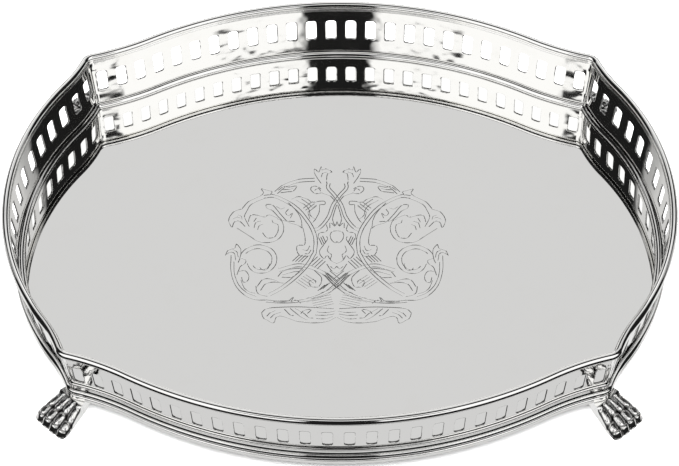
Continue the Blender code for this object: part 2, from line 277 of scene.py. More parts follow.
def bend_and_coat(tree, strip, given, result):
    """The last steps of every strip: bend it round its template and give it its finish."""
    bent = add(
        tree,
        "GeometryNodeGroup",
        {"Strip": strip, "Template": given["Template"]},
        node_tree=bend_round_template,
    )
    whole = add(tree, "GeometryNodeRealizeInstances", {"Geometry": bent.outputs["Strip"]}).outputs[0]
    coated = add(tree, "GeometryNodeSetMaterial", {"Geometry": whole, "Material": given["Finish"]})
    tree.links.new(coated.outputs[0], result["Geometry"])
    return tree


def drawn_strip_tree():
    """A strip drawn straight through a profile, then bent round a template."""
    helpers = {"Profile": "Object", "Template": "Object", "Guide": "Object"}
    sockets = {"Geometry": "Geometry", **helpers, "Finish": "Material"}
    tree, given, result = new_tree("drawn_strip", sockets, {"Geometry": "Geometry"})
    lines = {"Curve": line_from(tree, given["Guide"]), "Profile Curve": line_from(tree, given["Profile"])}
    drawn = add(tree, "GeometryNodeCurveToMesh", {**lines, "Fill Caps": True})
    return bend_and_coat(tree, drawn.outputs[0], given, result)


drawn_strip = drawn_strip_tree()


def made_by_nodes(name, tree, inputs):
    """Run a node tree and keep its result as a plain mesh object."""
    carrier = put_in_scene(bpy.data.meshes.new(name + "_blank"), name + "_blank")
    modifier = carrier.modifiers.new("build", "NODES")
    modifier.node_group = tree
    for item in tree.interface.items_tree:
        if item.item_type == "SOCKET" and item.in_out == "INPUT" and item.name in inputs:
            modifier[item.identifier] = inputs[item.name]
    graph = bpy.context.evaluated_depsgraph_get()
    data = bpy.data.meshes.new_from_object(carrier.evaluated_get(graph), depsgraph=graph)
    bpy.data.objects.remove(carrier)
    data.name = name
    data.shade_smooth()
    data.set_sharp_from_angle(angle=math.radians(SHARP_ANGLE))
    return put_in_scene(data, name)


def profile_loop(name, points):
    """A closed profile of (outward offset, height above the floor) points, as a loop of edges."""
    area = sum(a[0] * b[1] - b[0] * a[1] for a, b in zip(points, points[1:] + points[:1]))
    if area < 0:
        points = points[::-1]
    data = bpy.data.meshes.new(name)
    edges = [(index, (index + 1) % len(points)) for index in range(len(points))]
    data.from_pydata([(-offset, -height, 0.0) for offset, height in points], edges, [])
    return put_in_scene(data, name)


def arc(centre, radius, start, end, steps):
    """Points on an arc, angles in degrees, radius as one value or (across, up)."""
    across, up = radius if isinstance(radius, tuple) else (radius, radius)
    turns = [math.radians(start + (end - start) * step / steps) for step in range(steps + 1)]
    return [(centre[0] + across * math.cos(turn), centre[1] + up * math.sin(turn)) for turn in turns]


def polish_group():
    """Hand-polished metal: slow waves left by the buffing wheel and faint short hairlines."""
    depths = {"Wave Size": 9.0 * MM, "Wave Depth": 0.1, "Hairline Depth": 0.02}
    results = {"Roughness": "Float", "Normal": "Vector", "Tarnish": "Float"}
    sockets = {**depths, "Dull": 0.06, "Bright": 0.02}
    tree, given, result = new_tree("polish", sockets, results, "ShaderNodeTree")
    place = add(tree, "ShaderNodeTexCoord").outputs["Object"]
    streaks = add(tree, "ShaderNodeMapping", {"Vector": place, "Scale": (900.0, 5200.0, 2600.0)}).outputs[0]

    def noise(**inputs):
        return add(tree, "ShaderNodeTexNoise", inputs).outputs["Fac"]

    waves = noise(Vector=place, Scale=maths(tree, "DIVIDE", 1.0, given["Wave Size"]), Detail=1.0)
    hairlines = noise(Vector=streaks, Scale=1.0, Detail=3.0)
    clouds = noise(Vector=place, Scale=55.0, Detail=4.0, Roughness=0.6)
    wavy = {"Height": waves, "Strength": given["Wave Depth"], "Distance": 1.0 * MM}
    fine = {"Height": hairlines, "Strength": given["Hairline Depth"], "Distance": 0.02 * MM}
    fine["Normal"] = add(tree, "ShaderNodeBump", wavy).outputs[0]
    dulled = {"From Min": 0.35, "From Max": 0.7, "To Min": given["Bright"], "To Max": given["Dull"]}
    stained = {"From Min": 0.55, "From Max": 0.8}
    for label, kind, inputs in (
        ("Roughness", "ShaderNodeMapRange", {"Value": clouds, **dulled}),
        ("Normal", "ShaderNodeBump", fine),
        ("Tarnish", "ShaderNodeMapRange", {"Value": clouds, **stained}),
    ):
        tree.links.new(add(tree, kind, inputs).outputs[0], result[label])
    return tree


polish = polish_group()
CUT_ROUGHNESS = 0.3


def silver(name, clean, tarnished, wave_depth, dull, bright, shade_painted_in_cuts=1.0):
    """Silver plate with its own polish: clean and tarnished colour, depth of the buffing waves,
    dullest and brightest roughness. Where the surface's cut attribute is 1, on the slots' cut walls,
    in the engraved grooves and in the paws' recesses, it is duller, and its colour is darkened by the
    last argument as painted shade; in the paws' recesses that darkness also stands for oxide."""
    material = bpy.data.materials.new(name)
    material.use_nodes = True
    tree = material.node_tree
    shader = tree.nodes["Principled BSDF"]
    shader.inputs["Metallic"].default_value = 1.0
    wear = {"Wave Depth": wave_depth, "Dull": dull, "Bright": bright}
    worked = add(tree, "ShaderNodeGroup", wear, node_tree=polish).outputs
    colours = {"Factor": worked["Tarnish"], 6: (*clean, 1.0), 7: (*tarnished, 1.0)}
    colour = add(tree, "ShaderNodeMix", colours, data_type="RGBA").outputs[2]
    # The cut attribute: duller roughness on cuts, and painted shade that darkens the colour there.
    cut_and_shade_mask = add(tree, "ShaderNodeAttribute", attribute_name="cut").outputs["Fac"]
    shade = add(tree, "ShaderNodeMapRange", {"Value": cut_and_shade_mask, "To Min": 1.0, "To Max": shade_painted_in_cuts}).outputs[0]
    shaded = vector_maths(tree, "SCALE", {0: colour, "Scale": shade})
    roughnesses = {"Factor": cut_and_shade_mask, 2: worked["Roughness"], 3: CUT_ROUGHNESS}
    dulled = add(tree, "ShaderNodeMix", roughnesses, data_type="FLOAT").outputs[0]
    tree.links.new(shaded, shader.inputs["Base Color"])
    tree.links.new(dulled, shader.inputs["Roughness"])
    tree.links.new(worked["Normal"], shader.inputs["Normal"])
    return material


rolled_silver = silver("rolled_silver", (0.95, 0.945, 0.93), (0.91, 0.90, 0.87), 0.06, 0.07, 0.03)

MOULDING_TOP = 9.2 * MM
MOULDING_DROP = 4.3 * MM
LEDGE_REACH = 2.5 * MM
LEDGE_THICKNESS = 1.0 * MM
SKIRT_THICKNESS = 1.4 * MM
FACE_DEPTH = 0.7 * MM  # metal of the moulding outside the gallery
SKIRT_STEP = 0.5 * MM  # how far the skirt stands proud of the face
# The face from the top down, in mm: each arc's centre out from the face and up from the floor,
# its radii across and up, its first and last angle in degrees, and its number of steps.
FACE_ARCS = (
    ((-0.35, 8.58), (0.35, 0.62), 90, -90, 12),  # top bead
    ((0.0, 6.1), (0.42, 1.75), 130, 255, 14),  # cove
    ((-0.1, 2.1), (1.05, 1.5), 88, -80, 20),  # half round
    ((0.25, -0.35), (0.42, 0.75), 130, 262, 12),  # undercut
    ((0.3, -1.35), (0.2, 0.2), 90, 0, 4),  # shoulder of the skirt
    ((0.2, -3.8), (0.3, 0.5), 0, -90, 6),  # foot of the skirt
)


def moulding_profile():
    """The stepped face, and the ledge turned in behind it."""
    back = wall_offset(MOULDING_TOP) + GALLERY_THICKNESS + SOLDER_GAP
    face = back + FACE_DEPTH
    skirt_back = face + SKIRT_STEP - SKIRT_THICKNESS
    ledge_top = -(FLOOR_THICKNESS + SOLDER_GAP)
    ledge_foot = ledge_top - LEDGE_THICKNESS
    points = [(back, MOULDING_TOP)]
    for (out, up), (radius_out, radius_up), start, end, steps in FACE_ARCS:
        points += arc((face + out * MM, up * MM), (radius_out * MM, radius_up * MM), start, end, steps)
    points += [
        (skirt_back, -MOULDING_DROP),
        (skirt_back, ledge_foot),
        (-LEDGE_REACH, ledge_foot),
        (-LEDGE_REACH, ledge_top),
        (GALLERY_THICKNESS + SOLDER_GAP, ledge_top),
    ]
    return points


def fit(piece, node):
    """Seat a finished piece on the tray in place of its plain solid."""
    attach(piece, "root")
    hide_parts(node)


def lay_strips(name, profile_points, node):
    """Four mitred lengths of one drawn strip, each in place of its plain solid."""
    profile = profile_loop(f"{name}_profile", profile_points)
    for side in LOBES:
        inputs = {"Profile": profile, "Template": templates[side], "Guide": guides[side]}
        strip = made_by_nodes(f"{name}_{side}", drawn_strip, {**inputs, "Finish": rolled_silver})
        fit(strip, f"{node}_{side}")
    bpy.data.objects.remove(profile)


lay_strips("moulding", moulding_profile(), "base_moulding")

# ----------------------------------------------------------
# Gallery: rolled strip, pierced in a press with a row of tall rounded slots, then bent to the
# outline leaning a little outwards, and soldered on the ledge. The punch rounds the slots' edges.
# ----------------------------------------------------------

RIM_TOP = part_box("rim_wire_front")[1].z - FLOOR_Z
RIM_RADIUS = 2.0 * MM
RIM_BITE = 1.6 * MM
GROOVE_HALF = GALLERY_THICKNESS / 2 + SOLDER_GAP
GROOVE_MOUTH = RIM_TOP - RIM_RADIUS - math.sqrt(RIM_RADIUS**2 - GROOVE_HALF**2)
GALLERY_TOP = GROOVE_MOUTH + RIM_BITE
SLOT_SILL = 11.9 * MM
SLOT_HEIGHT = 13.8 * MM
SLOT_WIDTH = 5.0 * MM
SLOT_CORNER = 1.5 * MM
SLOT_END_MARGIN = 2.2 * MM
PUNCH_EDGE = 0.2 * MM
CELL_WIDTH = 10.0 * MM
WELD = 0.002 * MM
COLLAR = 2.4 * MM  # metal above and below a slot that the punch has drawn in
COLLAR_SHARES = (0.3, 0.62, 0.85, 1.0)  # rings of points, from the cell's edge to the slot
EDGE_TURNS = (30, 60, 90)  # degrees round the punched edge
PLINTH_HEIGHTS = (1.5 * MM, 4.2 * MM, 7.0 * MM)  # rows of points below the collar


def slot_edge(grown):
    """Points round a slot whose edge is grown outwards, each with its foot on the collar."""
    reach_across = SLOT_WIDTH / 2 - SLOT_CORNER
    reach_up = SLOT_HEIGHT / 2 - SLOT_CORNER
    middle = SLOT_SILL + SLOT_HEIGHT / 2
    half_cell = CELL_WIDTH / 2
    half_collar = SLOT_HEIGHT / 2 + COLLAR
    corner_steps, side_steps, end_steps = 6, 5, 2
    points = []
    for quarter in range(4):
        across = reach_across if quarter in (0, 3) else -reach_across
        up = reach_up if quarter in (0, 1) else -reach_up
        out_x, out_z = math.copysign(half_cell, across), math.copysign(half_collar, up)
        first_is_side = quarter in (0, 2)
        for step in range(corner_steps + 1):
            turn = math.radians(90 * (quarter + step / corner_steps))
            radius = SLOT_CORNER + grown
            point = (across + radius * math.cos(turn), up + radius * math.sin(turn))
            share = step / corner_steps if first_is_side else 1 - step / corner_steps
            if share <= 0.5:
                foot = (out_x, up + (out_z - up) * 2 * share)
            else:
                foot = (out_x + (across - out_x) * (2 * share - 1), out_z)
            points.append((point, foot))
        steps = end_steps if first_is_side else side_steps
        (x0, z0), (fx0, fz0) = points[-1]
        for step in range(1, steps):
            share = step / steps
            if first_is_side:
                point, foot = (x0 - 2 * across * share, z0), (fx0 - 2 * across * share, fz0)
            else:
                point, foot = (x0, z0 - 2 * up * share), (fx0, fz0 - 2 * up * share)
            points.append((point, foot))
    return [((x, z + middle), (fx, fz + middle)) for (x, z), (fx, fz) in points]


def punched_cell():
    """One slot with the metal round it, flat: X along the strip, Y outwards, Z up."""
    mesh = bmesh.new()
    cut_and_shade_layer = mesh.verts.layers.float.new("cut")
    low, high = SLOT_SILL - COLLAR, SLOT_SILL + SLOT_HEIGHT + COLLAR

    def vertex(x, z, depth):
        return mesh.verts.new((x, wall_offset(z) + depth, z))

    def join(first, second, closed, flip):
        count = len(first)
        for index in range(count if closed else count - 1):
            after = (index + 1) % count
            face = (first[index], first[after], second[after], second[index])
            mesh.faces.new(face[::-1] if flip else face)

    for outer_skin in (False, True):
        face_depth = GALLERY_THICKNESS if outer_skin else 0.0
        inwards = -1 if outer_skin else 1
        edge = slot_edge(PUNCH_EDGE)
        rings = [[vertex(*foot, face_depth) for _, foot in edge]]
        for share in COLLAR_SHARES:
            places = [(fx + (x - fx) * share, fz + (z - fz) * share) for (x, z), (fx, fz) in edge]
            rings.append([vertex(*place, face_depth) for place in places])
        for turn in EDGE_TURNS:
            grown = PUNCH_EDGE * (1 - math.sin(math.radians(turn)))
            sunk = PUNCH_EDGE * (1 - math.cos(math.radians(turn)))
            rings.append([vertex(*spot, face_depth + inwards * sunk) for spot, _ in slot_edge(grown)])
        rings.append([vertex(*spot, GALLERY_THICKNESS / 2) for spot, _ in slot_edge(0.0)])
        # The slot's cut walls get cut 1: duller, and darkened in the colour as painted shade.
        for shaded_slot_wall in (*rings[-1], *rings[-2]):
            shaded_slot_wall[cut_and_shade_layer] = 1.0
        for first, second in zip(rings, rings[1:]):
            join(first, second, True, not outer_skin)
        columns = sorted({round(foot[0], 9) for _, foot in edge if math.isclose(foot[1], low)})
        above = (high, (high + GALLERY_TOP) / 2, GALLERY_TOP)
        for levels in ((-FLOOR_THICKNESS, *PLINTH_HEIGHTS, low), above):
            rows = [[vertex(x, level, face_depth) for x in columns] for level in levels]
            for first, second in zip(rows, rows[1:]):
                join(first, second, False, outer_skin)
    for level, is_foot in ((-FLOOR_THICKNESS, True), (GALLERY_TOP, False)):
        strips = [[vertex(x, level, depth) for x in columns] for depth in (0.0, GALLERY_THICKNESS)]
        join(*strips, False, is_foot)
    bmesh.ops.remove_doubles(mesh, verts=mesh.verts, dist=0.001 * MM)
    data = bpy.data.meshes.new("punched_cell")
    mesh.to_mesh(data)
    mesh.free()
    return put_in_scene(data, "punched_cell")


def stretch_tree():
    """Moves what lies beyond a distance from the middle, so that metal there is longer or shorter."""
    sockets = {"Strip": "Geometry", "Beyond": 0.0, "Factor": 1.0}
    tree, given, result = new_tree("stretch_beyond", sockets, {"Strip": "Geometry"})
    here = add(tree, "GeometryNodeInputPosition").outputs[0]
    axes = add(tree, "ShaderNodeSeparateXYZ", {0: here}).outputs
    distance = maths(tree, "ABSOLUTE", axes["X"])
    excess = maths(tree, "MAXIMUM", maths(tree, "SUBTRACT", distance, given["Beyond"]), 0.0)
    added = maths(tree, "MULTIPLY", excess, maths(tree, "SUBTRACT", given["Factor"], 1.0))
    signed = maths(tree, "MULTIPLY", added, maths(tree, "SIGN", axes["X"]))
    offset = add(tree, "ShaderNodeCombineXYZ", {"X": signed})
    moved = add(tree, "GeometryNodeSetPosition", {"Geometry": given["Strip"], "Offset": offset.outputs[0]})
    tree.links.new(moved.outputs[0], result["Strip"])
    return tree


stretch_beyond = stretch_tree()


def pierced_strip_tree():
    """A row of punched cells, evened out to the strip's length and bent round a template."""
    kinds = {"Geometry": "Geometry", "Cell": "Object", "Template": "Object", "Finish": "Material"}
    spacing = {"Slots": 20, "Half Length": 0.1, "End Margin": SLOT_END_MARGIN}
    sockets = {**kinds, **spacing, "Half Slot": SLOT_WIDTH / 2, "Half Cell": CELL_WIDTH / 2}
    tree, given, result = new_tree("pierced_strip", sockets, {"Geometry": "Geometry"})
    last_edge = maths(tree, "SUBTRACT", given["Half Length"], given["End Margin"])
    last = maths(tree, "SUBTRACT", last_edge, given["Half Slot"])
    half_pitch = maths(tree, "DIVIDE", last, maths(tree, "SUBTRACT", given["Slots"], 1.0))
    half_bridge = maths(tree, "SUBTRACT", half_pitch, given["Half Slot"])
    cell_bridge = maths(tree, "SUBTRACT", given["Half Cell"], given["Half Slot"])
    cell = add(tree, "GeometryNodeObjectInfo", {"Object": given["Cell"]})
    factor = maths(tree, "DIVIDE", half_bridge, cell_bridge)
    stretch = {"Strip": cell.outputs["Geometry"], "Beyond": given["Half Slot"], "Factor": factor}
    evened = add(tree, "GeometryNodeGroup", stretch, node_tree=stretch_beyond).outputs[0]
    first_spot = add(tree, "ShaderNodeCombineXYZ", {"X": maths(tree, "MULTIPLY", last, -1.0)})
    last_spot = add(tree, "ShaderNodeCombineXYZ", {"X": last})
    ends = {"Start Location": first_spot.outputs[0], "Offset": last_spot.outputs[0]}
    row = add(tree, "GeometryNodeMeshLine", {"Count": given["Slots"], **ends}, mode="END_POINTS")
    cells = add(tree, "GeometryNodeInstanceOnPoints", {"Points": row.outputs[0], "Instance": evened})
    metal = add(tree, "GeometryNodeRealizeInstances", {"Geometry": cells.outputs[0]}).outputs[0]
    welded = add(tree, "GeometryNodeMergeByDistance", {"Geometry": metal, "Distance": WELD})
    factor = maths(tree, "DIVIDE", given["End Margin"], half_bridge)
    stretch = {"Strip": welded.outputs[0], "Beyond": last_edge, "Factor": factor}
    ended = add(tree, "GeometryNodeGroup", stretch, node_tree=stretch_beyond).outputs[0]
    return bend_and_coat(tree, ended, given, result)


def close_ends(piece):
    """Fill the two open mitred ends of a strip."""
    mesh = bmesh.new()
    mesh.from_mesh(piece.data)
    open_edges = [edge for edge in mesh.edges if edge.is_boundary]
    bmesh.ops.holes_fill(mesh, edges=open_edges, sides=0)
    bmesh.ops.recalc_face_normals(mesh, faces=mesh.faces)
    mesh.to_mesh(piece.data)
    mesh.free()


# Its last argument darkens the slots' cut walls: painted shade.
gallery_silver = silver("gallery_silver", (0.95, 0.945, 0.93), (0.92, 0.91, 0.885), 0.10, 0.06, 0.025, 0.3)
pierced_strip = pierced_strip_tree()
cell_blank = punched_cell()
for side, (lobe, _) in LOBES.items():
    inputs = {"Cell": cell_blank, "Template": templates[side], "Finish": gallery_silver}
    row = {"Slots": lobe.slots, "Half Length": lobe.half_length}
    gallery = made_by_nodes(f"gallery_strip_{side}", pierced_strip, {**inputs, **row})
    close_ends(gallery)
    fit(gallery, f"gallery_{side}")
bpy.data.objects.remove(cell_blank)

# ----------------------------------------------------------
# Floor: flat sheet, mirror polished and cut by hand with a scrolling leaf cartouche, the same
# on both sides of its middle. It rests on the ledge of the base moulding all round.
# ----------------------------------------------------------

# Its last argument darkens the engraved grooves by their depth: painted shade.
mirror_silver = silver("mirror_silver", (0.955, 0.952, 0.938), (0.945, 0.94, 0.92), 0.0, 0.03, 0.01, 0.25)
CARTOUCHE_AXIS = -1.5 * MM
CUT_WIDTH = 0.40 * MM
CUT_DEPTH = 0.12 * MM
CUT_STEP = 0.8  # mm between the points of a cut
PANEL = (62.0, 54.0)  # half width and half height of the engraved field, mm
SAME_POINT = 0.0001 * MM

# Double-lined stems, as (width, points) in mm out from the axis and up from the tray's middle.
STEMS = (
    (1.9, ((11.5, 38.2), (20, 37.4), (26.5, 34.6), (31, 30.2))),
    (1.7, ((37, 27.6), (32, 28), (26, 25), (20, 20), (15.5, 13.8), (12, 7), (10.6, 0), (11, -6.5))),
    (1.7, ((11, -6.5), (14.5, -13.5), (20.5, -21), (27, -27), (33, -31))),
    (1.8, ((28.5, -16.5), (20.5, -14), (14, -14.6), (7, -18), (0.2, -25), (-6, -30.6), (-15, -34.4))),
    (1.2, ((34.5, -34.8), (26, -35.4), (16, -34.4), (7, -30.6), (0, -26.2), (-6, -19))),
    (1.6, ((4.4, 36), (4.6, 33), (1.4, 28.6), (-2.1, 22.4), (-4.4, 15), (-8, 9.4), (-11, 7.4))),
)
# Single cuts: the leaves on the stems, the masks at the outer ends and the shield in the middle.
CUTS = (
    ((8.3, 36), (10.3, 39.3), (11.9, 43), (11.5, 45), (9.5, 43), (8.3, 46.5), (7.9, 44.4)),
    ((7.9, 44.4), (5.5, 45), (2.7, 43), (4.9, 42.2), (5.5, 38.3), (5.4, 36)),
    ((8.2, 40), (7.4, 42.4), (5.4, 43.2)),
    ((7.9, 30.1), (11.1, 29.6), (13.5, 32), (12.7, 34), (10.3, 34), (8.3, 32.5)),
    ((11.4, 31.6), (9.7, 33), (8.5, 31.2)),
    ((7.9, 30.1), (3.6, 28.2), (1.1, 24.8)),
    ((29.9, 31.6), (27.1, 34), (24.7, 33.6), (20.7, 34.2), (22.3, 31.2), (25.5, 30.6), (28.7, 30.1)),
    ((27.6, 32), (24.8, 32.2), (22.4, 33)),
    (
        *((34.2, 28.6), (33, 30.6), (35, 31.6), (38.6, 32.5)),
        *((37.4, 30.1), (39, 28.2), (44.6, 24.8), (47.8, 20.5)),
    ),
    ((45.4, 19), (43.8, 22.4), (39.8, 25.3), (35.6, 27)),
    (
        *((47.8, 20.2), (51.8, 18.6), (54.4, 14.2), (53.8, 10.4)),
        *((52.6, 8.9), (51.8, 11.8), (49.4, 12.8), (46.2, 9.4)),
    ),
    ((50, 16.6), (48.4, 15.8), (47.8, 13.8)),
    ((52.4, 14), (50.4, 15.2), (48.6, 14.6)),
    ((45.4, 19), (46.6, 15.2), (44.2, 9.4)),
    (
        *((50.2, 8.4), (43.8, 3.6), (39.8, 0.7), (34.2, -0.3)),
        *((28.9, 2.2), (26.7, 7.5), (27.9, 12.8), (30.2, 14.2)),
    ),
    ((37.4, 5.6), (35, 2.6), (31.2, 3.1), (29.4, 7.5), (30, 10.9), (32.2, 11.8), (32.8, 13.4)),
    ((44.6, 12.3), (43.4, 16.2), (39.8, 16.2), (36.4, 15.2), (34.2, 16.6), (29.8, 14.6)),
    ((41.8, 12.3), (40.6, 14.6)),
    ((41.6, 8.6), (40.8, 11.8), (38.4, 12.8)),
    ((39.8, 7.5), (39, 9.9), (37.4, 10.9)),
    ((35.8, 22.9), (32.6, 22.4), (28.7, 17.1), (24.7, 12.3), (19.9, 10.4), (17.5, 8.4)),
    ((17.5, 8.4), (18.3, 14.2), (20.7, 19), (24.7, 23.9)),
    ((35.8, 22.9), (35.8, 21), (32.6, 19), (28.7, 14.2), (26.3, 12.9), (21.4, 12.4)),
    ((24.6, 20), (26, 17.6), (24.4, 16), (22.4, 17.6), (23.4, 14.6)),
    ((30.6, 21.6), (28.4, 20.2), (26.6, 21)),
    (
        *((23.1, 26.3), (19.9, 27.7), (15.9, 26.7), (12.7, 24.3)),
        *((9.5, 24.8), (6.3, 24.8), (6.3, 22.9), (8.7, 22.9)),
    ),
    ((8.7, 22.9), (9.1, 18.1), (11.1, 13.3), (12.7, 11.8)),
    ((20.7, 25.6), (16.7, 22.9), (14.3, 20), (13.5, 16.2), (11.1, 14.2)),
    ((18, 26.2), (14.4, 23.2), (12.4, 21.2), (10.4, 22.4)),
    ((14.6, 17.4), (13.8, 14.2)),
    (
        *((17.1, 8.4), (15.9, 1.7), (16.3, -1.6), (19.7, -2.2)),
        *((19.7, -6), (17.5, -8.4), (12.9, -7.9), (11.4, -5)),
    ),
    ((17.1, -4.2), (14.8, -5), (13.5, -2.2)),
    ((15.9, -7), (14, -6.8), (12.8, -4.6)),
    ((55.4, -7.9), (54.2, -5), (50.8, -3.4), (50.2, -1.2), (47.8, -5), (48.2, -9.9), (49, -12.3)),
    ((55.2, -7.6), (53, -6), (51, -7), (50.2, -10.8)),
    ((51.8, -4.4), (49.8, -6), (49, -9)),
    ((52.6, -7.9), (52.4, -16.6), (50.2, -25.3), (45.4, -31.3), (39.8, -34), (34.4, -34.3)),
    ((51, -11.8), (50.6, -18.6), (48.6, -25), (44.6, -29.6), (39.6, -32)),
    ((49.4, -19.5), (47.8, -14.7), (45.4, -12.6), (45.4, -10.6), (47.6, -9.6)),
    ((49, -17.6), (45.4, -17.1), (43.4, -20.5), (44.2, -23.3), (46.2, -23.8), (47, -20.9)),
    ((47.4, -22.6), (45.6, -27.2), (42.8, -29.4), (40.2, -30.2)),
    ((39, -26.2), (37.4, -23.3), (35.8, -21.9), (32, -22), (28.7, -23.4)),
    ((37.4, -28.6), (35, -24.8), (31, -23.8), (26.3, -24.3)),
    ((39.8, -26.2), (39, -30.1), (36, -31.6), (34, -32)),
    ((29, -20.5), (26.3, -17.1), (20.7, -15.8), (16.5, -16.1), (19.1, -18.5), (22.3, -20.9), (27.1, -20.9)),
    ((26.6, -19.4), (22.6, -18), (19, -17.4)),
    ((11.1, -16.8), (7.5, -21.4), (8.7, -26.2), (12.7, -26.2), (13.5, -23.3), (11.1, -22.4), (10.3, -24.3)),
    ((36.6, -41.6), (35.8, -44.5), (34.2, -45.5), (30.6, -47.4), (29.3, -44.1), (26.3, -43.6), (19.1, -46.5)),
    ((19.1, -46.5), (11.1, -47.4), (4.7, -46.5), (0.4, -44.1)),
    ((36.6, -41.6), (34.2, -39.2), (28.7, -38.5), (19.1, -38.2), (9.5, -38.6), (1.5, -39.2)),
    ((34, -43.6), (32.4, -41.6), (30, -40.2)),
    ((32.2, -44.6), (30.2, -42.4), (27.4, -41.2)),
    ((25.5, -39.6), (22.6, -42.8), (21, -43.2)),
    ((20.2, -39), (16.3, -41.6), (13.6, -44.2), (11.4, -44.6)),
    ((22.6, -39.2), (18, -43.4), (14.4, -45.6)),
    ((14.2, -42), (12.4, -39.8), (15.6, -40), (17.4, -42)),
    ((9.5, -41), (5, -41.4), (0.8, -40.4)),
    ((10.4, -42.8), (6, -43), (1.2, -42.2)),
    ((9.8, -44.8), (5.8, -45), (2, -43.6)),
    ((31, -35.2), (24.7, -35.2), (21.1, -32.5), (22.3, -35.2), (19.9, -34.2), (17.6, -36)),
    ((0.3, 22.6), (1.7, 17), (2.2, 13.3), (0.9, 10), (0, 12.6)),
    ((1.2, 9.6), (3.4, 11.8), (3.6, 8.6)),
    ((0, 7), (2.6, 6.2), (3.4, 3.6), (2.4, 0.8), (0.8, -0.4), (0, 0.4)),
    ((9.5, 1.7), (8.9, 5.4), (6.4, 6), (4.7, 7.4), (5.4, 10.6)),
    ((5.2, 3.4), (4.7, 1.7), (6.3, -1.2), (8.7, -6), (6.5, -9.9), (4.7, -7.9), (3.1, -10.8), (0.1, -12.6)),
    ((4, -2.2), (4.7, -5.4), (2.6, -7.6), (3.3, -10.2)),
    ((3.1, -14.6), (1.4, -15.8), (0, -14.4)),
    ((5, -13), (2.8, -16.8), (0, -18.6)),
)
# Volutes: centre, first and last radius, and the angles they run between, in degrees.
VOLUTES = (
    ((38.2, -11.2), 10.3, 6.4, 24, 345),
    ((38.4, -11.4), 8.2, 4.2, 34, 320),
    ((36.6, -14.4), 3.4, 1.6, 150, 330),
)
# Hatching: first line's two ends, step to the next line, and the number of lines, all in mm.
HATCHES = (
    ((22, -11.4), (18.6, -7.6), (-1.5, -0.2), 4),
    ((13.6, -13.2), (9.6, -8.8), (-1.3, -0.9), 4),
    ((1.6, -22), (-3.4, -17.2), (-1.2, -1.2), 3),
    ((20, -23.4), (14.8, -27.4), (-1.2, 1.0), 5),
    ((12.4, -33.4), (3, -31), (-0.4, -1.3), 5),
    ((17, 20.6), (12.6, 24.6), (-1.1, -1.3), 3),
    ((7.2, 3.8), (5.6, -0.2), (0.9, -0.7), 3),
    ((9.2, -28.8), (5.8, -25.4), (-1.2, 0.6), 3),
)


def smooth_line(points, spacing=CUT_STEP):
    """A curve through all the points, evenly sampled."""
    points = [Vector(point) for point in points]
    padded = [points[0] * 2 - points[1], *points, points[-1] * 2 - points[-2]]
    line = []
    for before, start, end, after in zip(padded, padded[1:], padded[2:], padded[3:]):
        steps = max(int((end - start).length / spacing), 2)
        for step in range(steps):
            t = step / steps
            pull = (end - before) * t + (before * 2 - start * 5 + end * 4 - after) * t**2
            pull += (start * 3 - before - end * 3 + after) * t**3
            line.append(start + pull / 2)
    return [*line, points[-1]]


def sideways(line, distance):
    """The line moved sideways by a distance."""
    moved = []
    for index, point in enumerate(line):
        ahead = line[min(index + 1, len(line) - 1)] - line[max(index - 1, 0)]
        moved.append(point + Vector((-ahead.y, ahead.x)).normalized() * distance)
    return moved


def cartouche_cuts():
    """Every cut of the cartouche's one half, then of the mirrored half, in mm."""
    cuts = []
    for width, points in STEMS:
        line = smooth_line(points)
        cuts += [sideways(line, width / 2), sideways(line, -width / 2)]
    for centre, first, last, start, end in VOLUTES:
        steps = max(int(abs(end - start) / 360 * math.tau * first / CUT_STEP), 6)
        turns = [math.radians(start + (end - start) * step / steps) for step in range(steps + 1)]
        radii = [first + (last - first) * step / steps for step in range(steps + 1)]
        cuts.append([Vector(centre) + arm(turn, radius) for turn, radius in zip(turns, radii)])
    cuts += [smooth_line(points) for points in CUTS]
    for start, end, shift, count in HATCHES:
        for line in range(count):
            cuts.append(smooth_line([Vector(point) + Vector(shift) * line for point in (start, end)]))
    mirrored = [[Vector((-point.x, point.y)) for point in cut] for cut in cuts]
    return cuts + mirrored


def floor_outline():
    """Points round the floor's edge, a solder gap inside the gallery."""
    offset = wall_offset(-FLOOR_THICKNESS) - SOLDER_GAP
    outline = []
    for lobe, turn in LOBES.values():
        outline += [turned(lobe.point(spot, offset), turn) for spot in station_spots(lobe)[:-1:3]]
    return outline


def engraved_panel():
    """Flat rectangle cut with V grooves: points with depths, and triangles."""
    half = CUT_WIDTH / 2
    points, edges, middles = [], [], []
    for cut in cartouche_cuts():
        line = [Vector((CARTOUCHE_AXIS + point.x * MM, point.y * MM)) for point in cut]
        first = line[0] + (line[0] - line[1]).normalized() * half
        last = line[-1] + (line[-1] - line[-2]).normalized() * half
        loop = [first, *sideways(line, half), last, *sideways(line, -half)[::-1]]
        start = len(points)
        points += loop
        edges += [(start + index, start + (index + 1) % len(loop)) for index in range(len(loop))]
        start = len(points)
        points += line
        edges += [(start + index, start + index + 1) for index in range(len(line) - 1)]
        for here, after in zip(line, line[1:]):
            middles += [here.lerp(after, quarter / 4) for quarter in range(4)]
        middles.append(line[-1])
    edges += [(len(points) + index, len(points) + (index + 1) % 4) for index in range(4)]
    for x, y in ((-1, -1), (1, -1), (1, 1), (-1, 1)):
        points.append(Vector((x * PANEL[0] * MM, y * PANEL[1] * MM)))
    spots, _, triangles, *_ = geometry.delaunay_2d_cdt(points, edges, [], 0, SAME_POINT, False)
    tree = kdtree.KDTree(len(middles))
    for index, middle in enumerate(middles):
        tree.insert((middle.x, middle.y, 0.0), index)
    tree.balance()
    depths = []
    for spot in spots:
        distance = tree.find((spot.x, spot.y, 0.0))[2]
        depths.append(max(0.0, 1.0 - distance / half))
    return spots, depths, triangles


